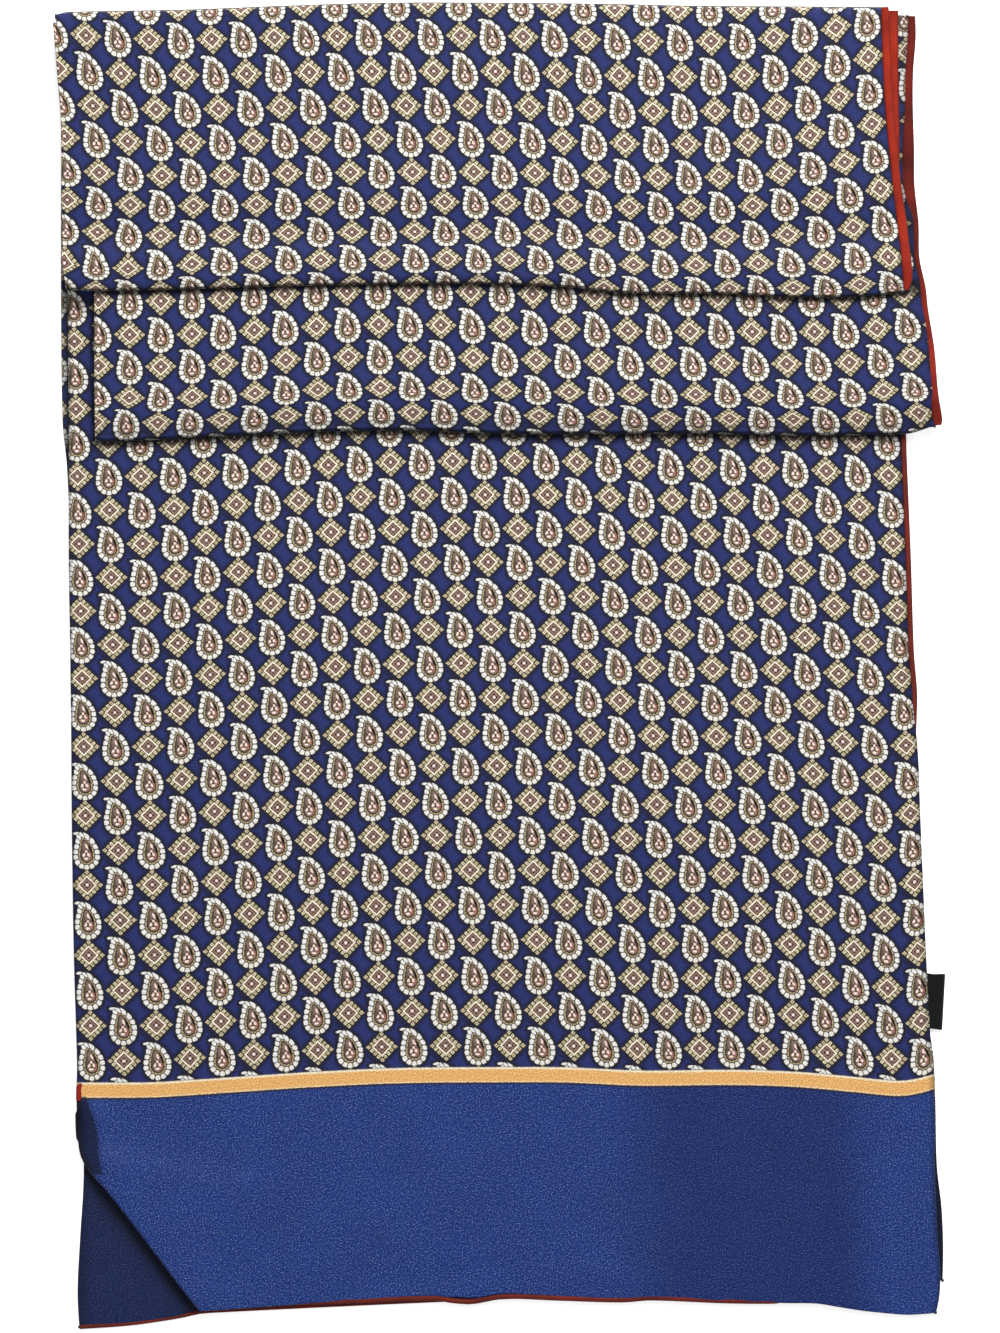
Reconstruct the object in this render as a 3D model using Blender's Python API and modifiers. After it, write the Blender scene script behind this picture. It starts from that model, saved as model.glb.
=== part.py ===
"""A long neck scarf, folded in half crosswise and then folded up twice, lying flat.

The scarf is one cloth with a rolled hem on all four sides and a woven label on one long side.
Folded in half, it is a doubled strip. The strip runs up from its two ends, comes forward and down
as far as the middle fold, goes up again, and comes forward once more as the top fold, whose lower
edge is the scarf's own crosswise middle. So two layers lie at the bottom and eight at the top.

Metres, +Z up. The origin is on the surface the scarf lies on, under the middle of its outline,
with +Y towards the folded top. Sizes in the tables are in millimetres.
"""

import math
from collections import namedtuple

import bpy
import numpy as np

MM = 0.001
CLOTH = 1.0  # wall of one layer
GAP = 0.3  # air between two layers, and between a layer and its hem
STEP = CLOTH + GAP
COLUMNS = 15  # cells across each stretch
MARGIN = 9.5  # width of the first and last of them
ROLL_STEPS = 5  # cells round each fold

HEM_RADIUS = 1.1  # the rolled hem where it shows
TUCKED_RADIUS = 0.5  # the same hem where a layer lies on it
LABEL = (8.7, 19.6, 0.8)  # width across, length along the edge, thickness
LABEL_CENTRE = (151.35, -117.5, 0.75)
LABEL_TILT = math.radians(-3.1)
LABEL_CORNER = 0.25

Section = namedtuple("Section", "y left right rise")
Line = namedtuple("Line", "x y")
Station = namedtuple("Station", "part shift z share")
Droop = namedtuple("Droop", "start reach drop")

# The edges that run across the scarf: where each lies, from left to right.
LOWER_END = [
    Line(*row)
    for row in (
        (-147.4, -230.9),
        (-129.2, -229.5),
        (-112.7, -227.0),
        (-102.9, -225.4),
        (60.0, -219.5),
        (155.8, -216.0),
    )
]
BODY_END = [
    Line(*row)
    for row in (
        (-102.9, -224.4),
        (-74.2, -222.0),
        (-22.8, -219.8),
        (-13.3, -221.3),
        (1.4, -219.7),
        (43.4, -220.9),
        (94.9, -221.3),
        (118.7, -222.3),
        (142.1, -225.1),
        (153.4, -224.2),
    )
]
MIDDLE_FOLD = [
    Line(*row)
    for row in (
        (-141.9, 79.7),
        (-107.8, 80.2),
        (-35.0, 82.8),
        (0.4, 81.6),
        (67.2, 81.8),
        (134.4, 81.3),
        (144.2, 81.8),
        (153.3, 84.6),
    )
]
TOP_FOLD = [
    Line(*row)
    for row in (
        (-151.2, 132.5),
        (-107.8, 132.9),
        (-34.6, 134.6),
        (0.4, 134.6),
        (45.2, 131.5),
        (106.4, 129.9),
        (145.3, 132.2),
    )
]
TOP_EDGE = [
    Line(*row)
    for row in (
        (-155.0, 228.0),
        (-107.8, 229.5),
        (-74.2, 230.9),
        (-35.0, 232.0),
        (34.0, 231.6),
        (67.2, 230.9),
        (133.7, 230.4),
    )
]

# The sections of each stretch, from its lower edge upward:
#   y, the left edge, the right edge, and how far the cloth rises above its level.
LOWER_SECTIONS = [
    Section(*row)
    for row in (
        (-231.0, -147.0, 154.9, 0.0),
        (-216.0, -147.8, 155.1, 0.0),
        (-198.0, -146.9, 154.3, 0.0),
        (-179.0, -145.7, 152.2, 0.0),
        (-150.0, -145.7, 146.0, 0.0),
        (-128.0, -146.2, 144.2, 0.0),
        (-100.0, -147.0, 144.0, 0.0),
        (0.0, -148.5, 141.0, 0.0),
        (70.0, -150.5, 138.0, 0.0),
        (95.0, -151.0, 138.0, 0.0),
        (140.0, -152.8, 138.0, 0.0),
        (232.0, -153.0, 134.0, 0.0),
    )
]
BODY_SECTIONS = [
    Section(*row)
    for row in (
        (-226.0, -102.6, 153.0, 0.0),
        (-216.0, -110.5, 152.4, 0.0),
        (-196.0, -126.8, 151.8, 0.0),
        (-172.7, -145.5, 151.2, 0.0),
        (-160.0, -147.0, 150.4, 0.0),
        (-120.0, -148.0, 148.6, 0.0),
        (-81.7, -148.4, 147.1, 0.0),
        (-32.7, -148.7, 145.3, 0.0),
        (5.8, -149.2, 143.5, 0.0),
        (37.3, -149.7, 142.6, 0.0),
        (80.3, -149.0, 140.4, 0.0),
        (230.0, -149.0, 139.0, 0.0),
    )
]
MIDDLE_SECTIONS = [
    Section(*row)
    for row in (
        (79.0, -140.4, 152.0, 0.6),
        (90.0, -140.4, 151.9, 0.7),
        (100.0, -140.4, 150.7, 0.3),
        (111.1, -140.4, 149.7, 0.0),
        (124.8, -140.4, 148.0, 0.0),
        (155.2, -140.4, 144.7, 0.0),
        (170.3, -140.4, 143.5, 0.0),
        (205.0, -140.4, 142.2, 0.0),
        (230.0, -140.4, 143.6, 0.0),
    )
]
TOP_SECTIONS = [
    Section(*row)
    for row in (
        (130.0, -150.0, 141.4, 1.0),
        (141.6, -151.9, 140.7, 1.0),
        (150.0, -152.0, 140.2, 0.1),
        (160.0, -152.2, 139.4, 0.7),
        (170.3, -152.3, 137.9, 0.8),
        (192.7, -152.4, 135.5, 0.8),
        (205.3, -153.4, 135.0, 0.8),
        (232.0, -155.3, 134.0, 0.8),
    )
]
INSIDE_SECTIONS = [
    Section(*row)
    for row in (
        (86.0, -139.0, 139.0, 0.0),
        (150.0, -139.0, 139.0, 0.0),
        (230.0, -139.0, 136.0, 0.0),
    )
]

# The core that makes the inside layers one solid keeps back from their edges.
CORE_LOW, CORE_HIGH = Line(-133.0, 92.0), Line(130.0, 218.0)
CORE_HALF = 0.4

# Where a stretch reaches past what it lies on, its margin sinks.
TOP_DROOP = Droop(start=-141.0, reach=-14.0, drop=3.0)
MIDDLE_DROOP = Droop(start=143.5, reach=11.0, drop=2.2)
DROOP_FADE = 25.0  # the droop dies out over this length below the top edge

# The corner that is turned under: the two ends of its diagonal fold, and its hidden point.
CORNER = ((-145.2, -172.0), (-102.6, -224.6), (-91.0, -183.0))
CORNER_INSET = 0.6  # the flap lies this far inside the fold
LIFT_MARGIN = 3.0  # the body stays up this far past the flap
LIFT_FADE = 14.0  # and comes down over this length


def level(layer):
    """The middle height of a layer, counted from 0 at the bottom."""
    return CLOTH / 2 + layer * STEP


def leg(z, lower_inset, upper_inset, rows, share=0.0, crowding=1.0):
    """Stations of a flat run, from the lower edge line to the upper one.

    With crowding over 1 the rows are closer together near the lower edge.
    """
    stations = []
    for k in range(rows + 1):
        part = (k / rows) ** crowding
        stations.append(Station(part, lower_inset - (lower_inset + upper_inset) * part, z, share))
    return stations


def roll(part, inward, reach, low, high):
    """Stations round a fold from low to high, between the two legs it joins."""
    stations = []
    for k in range(1, ROLL_STEPS):
        angle = math.pi * (k / ROLL_STEPS - 0.5)
        rise = (math.sin(angle) + 1) / 2
        shift = inward * reach * (1 - math.cos(angle))
        stations.append(Station(part, shift, low + (high - low) * rise, rise))
    return stations


def at(rows, key, value, wanted):
    """The wanted column of a table, read at a value of its key column."""
    return np.interp(value, [getattr(r, key) for r in rows], [getattr(r, wanted) for r in rows])


def column_at(left, right, column):
    """Where a column of the grid lies: the margins are narrow and the rest are even."""
    if column in (0, COLUMNS):
        return right if column else left
    share = (column - 1) / (COLUMNS - 2)
    return left + MARGIN + (right - left - 2 * MARGIN) * share


def droop_at(droop, x, y):
    if droop is None:
        return 0.0
    outward = min(max((x - droop.start) / droop.reach, 0.0), 1.0)
    below_top = min(max((TOP_EDGE[0].y - y) / DROOP_FADE, 0.0), 1.0)
    return droop.drop * outward * outward * below_top


def corner_lift(x, y):
    """How far the body is raised by the turned corner beneath it."""
    centre = np.mean(CORNER, axis=0)
    outside = -math.inf
    for a, b in zip(CORNER, CORNER[1:] + CORNER[:1]):
        normal = np.array((b[1] - a[1], a[0] - b[0]))
        normal /= np.linalg.norm(normal)
        if np.dot(normal, centre - a) > 0:
            normal = -normal
        outside = max(outside, float(np.dot(normal, np.array((x, y)) - a)))
    share = min(max(1 - (outside - LIFT_MARGIN) / LIFT_FADE, 0.0), 1.0)
    return STEP * share * share * (3 - 2 * share)


def no_lift(x, y):
    return 0.0


def fabric(name, colour, roughness):
    material = bpy.data.materials.new(name)
    material.use_nodes = True
    shader = material.node_tree.nodes["Principled BSDF"]
    shader.inputs["Base Color"].default_value = (*colour, 1.0)
    shader.inputs["Roughness"].default_value = roughness
    shader.inputs["Metallic"].default_value = 0.0
    return material


def file_under(piece, collection):
    for held_in in list(piece.users_collection):
        held_in.objects.unlink(piece)
    collection.objects.link(piece)


def finish(piece, name, material):
    """Names a piece, gives it its cloth, and files it under the scarf."""
    piece.name = name
    piece.data.materials.append(material)
    file_under(piece, scarf)
    piece.parent = anchor
    return piece


def height_at(lower, upper, x, station):
    """Where a station lies up the scarf, between the two edge lines at x."""
    low, high = at(lower, "x", x, "y"), at(upper, "x", x, "y")
    return low + (high - low) * station.part + station.shift


def cloth_grid(sections, lower, upper, stations, lift=no_lift, droop=None):
    """A grid bent into a stretch of cloth, its middle surface on the stations."""
    rows = len(stations) - 1
    bpy.ops.mesh.primitive_grid_add(x_subdivisions=COLUMNS, y_subdivisions=rows, size=1)
    sheet = bpy.context.object
    for vertex in sheet.data.vertices:
        column = round((vertex.co.x + 0.5) * COLUMNS)
        station = stations[round((vertex.co.y + 0.5) * rows)]
        at_left = height_at(lower, upper, sections[0].left, station)
        at_right = height_at(lower, upper, sections[0].right, station)
        left = at(sections, "y", at_left, "left")
        right = at(sections, "y", at_right, "right")
        x = column_at(left, right, column)
        y = height_at(lower, upper, x, station)
        rise = station.share * at(sections, "y", y, "rise")
        z = station.z + rise + lift(x, y) - droop_at(droop, x, y)
        vertex.co = (x * MM, y * MM, z * MM)
    return sheet


def wall(sheet, thickness=CLOTH):
    """Gives a bent grid its thickness, half on each side."""
    solidify = sheet.modifiers.new("wall", "SOLIDIFY")
    solidify.thickness = thickness * MM
    solidify.offset = 0.0
    sheet.data.shade_smooth()
    return sheet


def hem(name, points, radii):
    """A rolled hem: a round tube along an edge, thinner where a layer lies on it."""
    curve = bpy.data.curves.new(name, "CURVE")
    curve.dimensions = "3D"
    curve.bevel_depth = HEM_RADIUS * MM
    curve.bevel_resolution = 2
    curve.use_fill_caps = True
    spline = curve.splines.new("POLY")
    spline.points.add(len(points) - 1)
    for point, place, radius in zip(spline.points, points, radii):
        point.co = (*(value * MM for value in place), 1.0)
        point.radius = radius / HEM_RADIUS
    return finish(bpy.data.objects.new(name, curve), name, hem_red)


def side_hem(name, sections, side, base, radii, heights, droop=None):
    """A hem beside the left or right edge of a stretch.

    radii and heights are (y, value) rows along the edge; base is the underside of its layer.
    """
    points, sizes = [], []
    outward = -1 if side == "left" else 1
    for y, radius in radii:
        x = at(sections, "y", y, side) + outward * (GAP + radius)
        z = base + radius + np.interp(y, *zip(*heights)) - droop_at(droop, x, y)
        points.append((x, y, z))
        sizes.append(radius)
    return hem(name, points, sizes)


def end_of(sections, line):
    """The corners of a stretch's lower edge, column by column, as its grid has them."""
    left, right = sections[0].left, sections[0].right
    columns = [column_at(left, right, column) for column in range(COLUMNS + 1)]
    return [(x, float(at(line, "x", x, "y"))) for x in columns]


def rows_between(low, high, count, radius):
    """Evenly spaced (y, radius) rows along an edge."""
    return [(float(y), radius) for y in np.linspace(low, high, count)]


for thing in list(bpy.data.objects):
    bpy.data.objects.remove(thing)

scarf = bpy.data.collections.new("neck_scarf")
cutters = bpy.data.collections.new("cutters")
bpy.context.scene.collection.children.link(scarf)
bpy.context.scene.collection.children.link(cutters)
anchor = bpy.data.objects.new("neck_scarf_origin", None)
scarf.objects.link(anchor)

print_cloth = fabric("printed twill", (0.035, 0.045, 0.19), 0.85)
hem_red = fabric("overlocked hem", (0.42, 0.035, 0.012), 0.8)
label_black = fabric("woven label", (0.012, 0.012, 0.014), 0.6)

# Lower layer: flat on the surface, rolled up at the top edge round what lies on it.
top_roll_low, top_roll_high = level(0), level(3) - GAP
lower_stations = (
    leg(level(0), 0.0, 3.5, 15)
    + [station._replace(shift=station.shift - 1.0)
       for station in roll(1.0, -1, 2.5, top_roll_low, top_roll_high)]
    + [Station(1.0, -3.6, top_roll_high, 0.0), Station(1.0, -4.6, top_roll_high, 0.0)]
)
lower = wall(cloth_grid(LOWER_SECTIONS, LOWER_END, TOP_EDGE, lower_stations))
finish(lower, "lower_layer", print_cloth)

# Body: the visible half, with its lower left corner raised by the part turned under.
body_stations = leg(level(1), 0.0, 6.0, 20, crowding=1.5)
body = wall(cloth_grid(BODY_SECTIONS, BODY_END, TOP_EDGE, body_stations, lift=corner_lift))
finish(body, "body", print_cloth)

# Turned corner: the flap that lies under the body along its diagonal edge.
bpy.ops.mesh.primitive_circle_add(vertices=3, radius=1.0, fill_type="NGON")
flap = bpy.context.object
flap_centre = np.mean(CORNER, axis=0)
for vertex, point in zip(flap.data.vertices, reversed(CORNER)):
    inward = flap_centre - np.array(point)
    x, y = np.array(point) + inward * CORNER_INSET / np.linalg.norm(inward)
    vertex.co = (x * MM, y * MM, level(1) * MM)
finish(wall(flap), "turned_corner", print_cloth)

# Middle fold: up at the back, round its lower edge, and up again in front.
middle_low, middle_high = level(2), level(5)
middle_stations = (
    leg(middle_low, 3.2, 6.0, 8)[::-1]
    + roll(0.0, 1, 3.2, middle_low, middle_high)
    + leg(middle_high, 3.2, 6.0, 10, share=1.0)
)
middle = cloth_grid(MIDDLE_SECTIONS, MIDDLE_FOLD, TOP_EDGE, middle_stations, droop=MIDDLE_DROOP)
finish(wall(middle), "middle_fold", print_cloth)

# Inside layers: two hidden layers joined round their fold, with a core that makes them one.
inside_low, inside_high = level(3), level(4)
inside_nose = [line._replace(y=line.y + 6.0) for line in MIDDLE_FOLD]
inside_stations = (
    leg(inside_low, 1.0, 6.4, 5)[::-1]
    + roll(0.0, 1, 1.0, inside_low, inside_high)
    + leg(inside_high, 1.0, 6.4, 5)
)
inside = wall(cloth_grid(INSIDE_SECTIONS, inside_nose, TOP_EDGE, inside_stations))
bpy.ops.mesh.primitive_cube_add(size=1)
core = bpy.context.object
core.name = "inside_core"
for vertex in core.data.vertices:
    x = CORE_HIGH.x if vertex.co.x > 0 else CORE_LOW.x
    y = CORE_HIGH.y if vertex.co.y > 0 else CORE_LOW.y
    z = (inside_low + inside_high) / 2 + math.copysign(CORE_HALF, vertex.co.z)
    vertex.co = (x * MM, y * MM, z * MM)
file_under(core, cutters)
core.hide_render = True
core.display_type = "WIRE"
joined = inside.modifiers.new("core", "BOOLEAN")
joined.operation = "UNION"
joined.object = core
finish(inside, "inside_layers", print_cloth)

# Top fold: the under leg, round the crosswise middle, the upper leg, and over the top edge.
under_leg, upper_leg = level(6), level(7)
top_stations = (
    leg(under_leg, 2.2, 6.0, 8)[::-1]
    + roll(0.0, 1, 2.2, under_leg, upper_leg)
    + leg(upper_leg, 2.2, 3.0, 12, share=1.0)
    + roll(1.0, -1, 3.0, level(4), upper_leg)[::-1]
    + [Station(1.0, -3.0, level(4), 0.0), Station(1.0, -4.4, level(4), 0.0)]
)
top = cloth_grid(TOP_SECTIONS, TOP_FOLD, TOP_EDGE, top_stations, droop=TOP_DROOP)
finish(wall(top), "top_fold", print_cloth)

# Hems.
flat = ((-300.0, 0.0), (300.0, 0.0))
under_body = level(1) - CLOTH / 2
side_hem("lower_left_hem", LOWER_SECTIONS, "left", 0.0,
         rows_between(-229.0, 222.0, 14, TUCKED_RADIUS), flat)
side_hem("lower_right_hem", LOWER_SECTIONS, "right", 0.0,
         rows_between(-214.0, 222.0, 18, TUCKED_RADIUS), flat)
side_hem("body_left_hem", BODY_SECTIONS, "left", under_body,
         rows_between(-158.0, 222.0, 12, TUCKED_RADIUS), ((-158.0, 0.6), (-150.0, 0.0)))
side_hem("body_right_hem", BODY_SECTIONS, "right", under_body,
         rows_between(-220.0, 76.0, 12, HEM_RADIUS) + [(84.0, TUCKED_RADIUS), (222.0, TUCKED_RADIUS)],
         flat)
end_points = [
    (x, y - GAP - HEM_RADIUS, under_body + HEM_RADIUS + corner_lift(x, y))
    for x, y in end_of(BODY_SECTIONS, BODY_END)
]
hem("body_end_hem", end_points, [HEM_RADIUS] * len(end_points))
lower_points = [
    (x, y - GAP - TUCKED_RADIUS, TUCKED_RADIUS) for x, y in end_of(LOWER_SECTIONS, LOWER_END)
]
hem("lower_end_hem", lower_points, [TUCKED_RADIUS] * len(lower_points))

under_middle = level(5) - CLOTH / 2
side_hem("middle_left_hem", MIDDLE_SECTIONS, "left", under_middle,
         rows_between(86.0, 222.0, 6, TUCKED_RADIUS), ((86.0, 0.6), (110.0, 0.0)))
side_hem("middle_right_hem", MIDDLE_SECTIONS, "right", under_middle,
         rows_between(87.0, 224.0, 12, HEM_RADIUS), ((87.0, 0.4), (105.0, 0.0)),
         droop=MIDDLE_DROOP)

above_top = level(7) - CLOTH / 2
side_hem("top_left_hem", TOP_SECTIONS, "left", above_top,
         rows_between(137.0, 226.0, 9, TUCKED_RADIUS),
         [(section.y, section.rise) for section in TOP_SECTIONS], droop=TOP_DROOP)
side_hem("top_right_hem", TOP_SECTIONS, "right", above_top,
         rows_between(135.0, 228.0, 10, HEM_RADIUS),
         ((135.0, 0.6), (150.0, 0.0), (160.0, 0.3)))
under_sections = [section._replace(right=section.right + 2.6) for section in TOP_SECTIONS]
side_hem("top_under_hem", under_sections, "right", level(6) - CLOTH / 2,
         rows_between(137.0, 226.0, 8, TUCKED_RADIUS), flat)

# Label: a woven tab caught under the body's right edge.
bpy.ops.mesh.primitive_cube_add(size=1)
label = bpy.context.object
for vertex in label.data.vertices:
    vertex.co = [value * size * MM for value, size in zip(vertex.co, LABEL)]
label.location = [value * MM for value in LABEL_CENTRE]
label.rotation_euler = (0.0, 0.0, LABEL_TILT)
edge = label.modifiers.new("soft edge", "BEVEL")
edge.width = LABEL_CORNER * MM
edge.segments = 2
finish(label, "label", label_black)
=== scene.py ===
import math
from bisect import bisect_right
from functools import partial

import bpy
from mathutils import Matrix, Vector


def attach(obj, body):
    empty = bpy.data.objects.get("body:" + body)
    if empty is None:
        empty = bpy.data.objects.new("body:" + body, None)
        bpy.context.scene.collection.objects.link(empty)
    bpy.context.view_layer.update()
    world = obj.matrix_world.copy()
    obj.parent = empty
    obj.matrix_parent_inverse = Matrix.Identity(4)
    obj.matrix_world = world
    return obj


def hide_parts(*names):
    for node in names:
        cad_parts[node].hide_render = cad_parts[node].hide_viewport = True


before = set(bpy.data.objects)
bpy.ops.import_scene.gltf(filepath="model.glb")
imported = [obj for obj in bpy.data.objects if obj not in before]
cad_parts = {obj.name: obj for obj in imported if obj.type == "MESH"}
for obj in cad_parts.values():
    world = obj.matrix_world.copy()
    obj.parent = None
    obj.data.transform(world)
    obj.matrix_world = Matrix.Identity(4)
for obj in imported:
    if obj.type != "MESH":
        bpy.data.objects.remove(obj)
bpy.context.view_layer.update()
bpy.ops.object.select_all(action="DESELECT")

# The view: the scarf lies on a white table and is seen from straight above, so that its
# 0.35 m of width fill the frame as in the photograph. A broad soft lamp stands beyond its top
# edge, a weak one at the lower left, and an even white room light fills the shadows.
VIEW_HEIGHT = 1.948
LENS = 150
bpy.ops.object.camera_add(location=(0.00035, 0, VIEW_HEIGHT), rotation=(0, 0, 0))
camera = bpy.context.object
camera.name = "camera"
camera.data.lens = LENS
camera.data.clip_end = 20
bpy.context.scene.camera = camera

world = bpy.data.worlds.new("white_room")
bpy.context.scene.world = world
world.use_nodes = True
world.node_tree.nodes["Background"].inputs["Color"].default_value = (1, 1, 1, 1)
world.node_tree.nodes["Background"].inputs["Strength"].default_value = 0.36
bpy.context.scene.view_settings.view_transform = "Standard"

for name, place, size, power in (
    ("soft_lamp", (0.32, 1.2, 1.35), 0.75, 36),
    ("low_fill", (-1.1, -0.9, 1.5), 1.4, 4),
):
    bpy.ops.object.light_add(type="AREA", location=place)
    lamp = bpy.context.object
    lamp.name = name
    lamp.data.size = size
    lamp.data.energy = power
    lamp.rotation_euler = (-Vector(place)).to_track_quat("-Z", "Y").to_euler()

bpy.ops.mesh.primitive_plane_add(size=12, location=(0, 0, -0.0002))
table = bpy.context.object
table.name = "table"
paint = bpy.data.materials.new("white table paint")
paint.use_nodes = True
for socket, value in (
    ("Base Color", (0.98, 0.98, 0.98, 1)), ("Roughness", 0.9),
    ("Emission Color", (1, 1, 1, 1)), ("Emission Strength", 0.6),
):
    paint.node_tree.nodes["Principled BSDF"].inputs[socket].default_value = value
table.data.materials.append(paint)

# The lower layer: the half of the scarf that lies underneath, good face down, from its end at
# the bottom to the top fold. It is printed silk-look twill, about 0.25 mm thick, screen printed
# with a paisley-and-diamond foulard repeat, an ochre band and a plain blue panel at the end.
LOWER_TOP, LOWER_HALF = 0.75, 228
LOWER_ROLL = 2.2
LOWER_RISE = LOWER_ROLL - 0.35
# each row: y, the left side's x and the right side's x
LOWER_SIDES = (
    (-231, -147.0, 155.5), (-216, -147.8, 155.8), (-198, -146.9, 155.2), (-179, -145.7, 153.6),
    (-150, -145.7, 153.0), (-136, -146.0, 152.3), (-126, -146.2, 150.4), (-114, -146.6, 146.0),
    (-100, -147.0, 144.5), (0, -148.5, 141.0), (70, -151.5, 138.0), (85, -153.0, 138.0),
    (132, -153.6, 138.0), (232, -153.4, 134.0),
)
# each row: x, and the edge's y
LOWER_END = (
    (-147.4, -232.4), (-129.2, -231.1), (-112.7, -228.7), (-102.9, -226.8), (60, -219.5),
    (155.8, -216.0),
)
TOP_EDGE = (
    (-155, 228.4), (-151, 229.0), (-107.8, 229.9), (-74.2, 231.2), (-35, 232.3), (34, 231.9),
    (67.2, 231.2), (133.7, 230.7), (150, 230.2),
)


def along(table, at, value=1):
    """Reads a listed table at a place, passing smoothly through each of its values."""
    at = min(max(at, table[0][0]), table[-1][0])
    k = min(bisect_right([row[0] for row in table], at), len(table) - 1) - 1
    rows = [table[min(max(k + step, 0), len(table) - 1)] for step in (-1, 0, 1, 2)]
    place, height = [row[0] for row in rows], [row[value] for row in rows]
    gap = place[2] - place[1]
    before = (height[2] - height[0]) / (place[2] - place[0]) * gap
    after = (height[3] - height[1]) / (place[3] - place[1]) * gap
    t = (at - place[1]) / gap
    return (
        (2 * t ** 3 - 3 * t ** 2 + 1) * height[1] + (t ** 3 - 2 * t ** 2 + t) * before
        + (3 * t ** 2 - 2 * t ** 3) * height[2] + (t ** 3 - t ** 2) * after
    )


def ease(start, end, at):
    """0 before start and 1 after end, with a soft change between."""
    t = min(max((at - start) / (end - start), 0), 1)
    return t * t * (3 - 2 * t)


# the body's diagonal fold, from its upper end to its lower, and the tip of the corner turned under it
FLAP = ((-146.6, -172.0), (-104.2, -225.0), (-91.0, -183.0))


def past(a, b, x, y):
    """How far a point lies to the left of the line from a to b, in mm."""
    return ((b[0] - a[0]) * (y - a[1]) - (b[1] - a[1]) * (x - a[0])) / math.dist(a, b)


def curl(side, radius, turn=100):
    """Grid lines round a turned edge: (share of the width, inset, sink), from the flat out and under."""
    lines = []
    for step in range(8):
        angle = math.radians(turn * step / 7)
        lines.append((side, radius * (1 - math.sin(angle)), radius * (1 - math.cos(angle))))
    return lines


def columns_of(count, left, right):
    """Grid lines across a stretch of cloth: a turned left edge, even lines, a turned right edge."""
    even = [((k + 1) / (count + 1), 0, 0) for k in range(count)]
    return left[::-1] + even + right


def across(column, left, right):
    """Where a grid line runs between the cloth's two edges, in mm."""
    share, inset, sink = column
    return left + share * (right - left) + (inset if share < 0.5 else -inset)


def lay_grid(name, wide, long, place):
    """A grid with its cloth coordinates. place gives each crossing its point and its coordinates in
    mm, and if need be how much painted shade darkens it there, from 0 to 1."""
    bpy.ops.object.select_all(action="DESELECT")
    bpy.ops.mesh.primitive_grid_add(x_subdivisions=wide, y_subdivisions=long, size=2, calc_uvs=False)
    cloth = bpy.context.object
    cloth.name = cloth.data.name = name
    read = []
    # the crease_shade attribute holds the painted shade that the materials darken by
    painted_shade = cloth.data.attributes.new(name="crease_shade", type="FLOAT", domain="POINT")
    for vertex in cloth.data.vertices:
        column, row = round((vertex.co.x + 1) / 2 * wide), round((vertex.co.y + 1) / 2 * long)
        x, y, z, u, v, *dark = place(column, row)
        vertex.co = (x / 1000, y / 1000, z / 1000)
        read.append((u / 1000, v / 1000))
        painted_shade.data[vertex.index].value = min(max(dark[0], 0), 1) if dark else 0
    laid = cloth.data.uv_layers.new(name="cloth")
    for loop in cloth.data.loops:
        laid.data[loop.index].uv = read[loop.vertex_index]
    return cloth


def lay_cloth(name, cad_node, columns, rows, place, materials, thickness=0.6):
    """One stretch of cloth on its grid lines. materials are the outer side's and the inner side's,
    and are there before the cloth gets its thickness in mm."""
    cloth = lay_grid(name, len(columns) - 1, len(rows) - 1, lambda k, n: place(columns[k], rows[n]))
    for material in materials:
        cloth.data.materials.append(material)
    wall = cloth.modifiers.new("cloth_thickness", "SOLIDIFY")
    wall.thickness = thickness / 1000
    wall.offset = -1
    wall.material_offset = 1
    wall.material_offset_rim = 0
    bpy.ops.object.modifier_apply(modifier=wall.name)
    bpy.ops.object.shade_smooth_by_angle(angle=math.radians(60))
    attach(cloth, "root")
    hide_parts(cad_node)
    return cloth


def linear(colour):
    """An sRGB hex colour as the linear colour that a shader wants."""
    channels = [int(colour[k:k + 2], 16) / 255 for k in (0, 2, 4)]
    return [c / 12.92 if c <= 0.04045 else ((c + 0.055) / 1.055) ** 2.4 for c in channels] + [1]


MODES = {
    "Math": "operation", "VectorMath": "operation", "Mix": "data_type", "Mapping": "vector_type",
    "MapRange": "interpolation_type", "TexWave": "wave_type",
}


def add(tree, kind, *inputs, **settings):
    """Adds one node, whose kind may be followed by its mode, as in "Math ADD". It sets or links its
    inputs, in order or by name, with colours in sRGB hex, and returns its first output."""
    kind, *mode = kind.split()
    node = tree.nodes.new("ShaderNode" + kind)
    if mode:
        setattr(node, MODES[kind], mode[0])
    named = {}
    for name, value in settings.items():
        if name[0].isupper():
            named[name.replace("_", " ")] = value
        else:
            setattr(node, name, value)
    open_sockets = [socket for socket in node.inputs if socket.enabled]
    pairs = list(zip(open_sockets, inputs)) + [(node.inputs[name], named[name]) for name in named]
    for socket, value in pairs:
        if isinstance(value, bpy.types.NodeSocket):
            tree.links.new(value, socket)
        else:
            socket.default_value = linear(value) if isinstance(value, str) else value
    return next((socket for socket in node.outputs if socket.enabled), None)


def cloth_material(name):
    """A new material, what adds its nodes, and its cloth coordinates in mm."""
    material = bpy.data.materials.new(name)
    material.use_nodes = True
    material.node_tree.nodes.clear()
    node = partial(add, material.node_tree)
    return material, node, node("VectorMath MULTIPLY", node("UVMap", uv_map="cloth"), (1000, 1000, 0))


# Printed twill: spun-silk or polyester twill woven from fine threads, screen printed. It gives a
# flat, faintly grainy face, soft-edged motifs with dark outlines and a low silky sheen. All sizes
# are in mm of cloth. The twill's 0.25 mm ribs are drawn at 1.1 mm, because finer ones don't show.
# The repeat is two columns by two rows. A paisley has a half width, a height below and above its
# middle, and a lean, a curl and a taper. Its beads have a half length, a round and a gap.
COLUMN, ROW, FIRST_ROW = 11.08, 12.0, 89.9
BAND = (77.0, 82.3)
TEAR_WIDE, TEAR_LOW, TEAR_HIGH = 3.82, 3.9, 7.3
TEAR_LEAN, TEAR_CURL, TEAR_TAPER = 0.06, 0.0085, 0.04
BEAD_HALF, BEAD_ROUND, BEAD_GAP = 0.78, 0.5, 0.16
DIAMOND = (5.55, 5.4)


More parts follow.
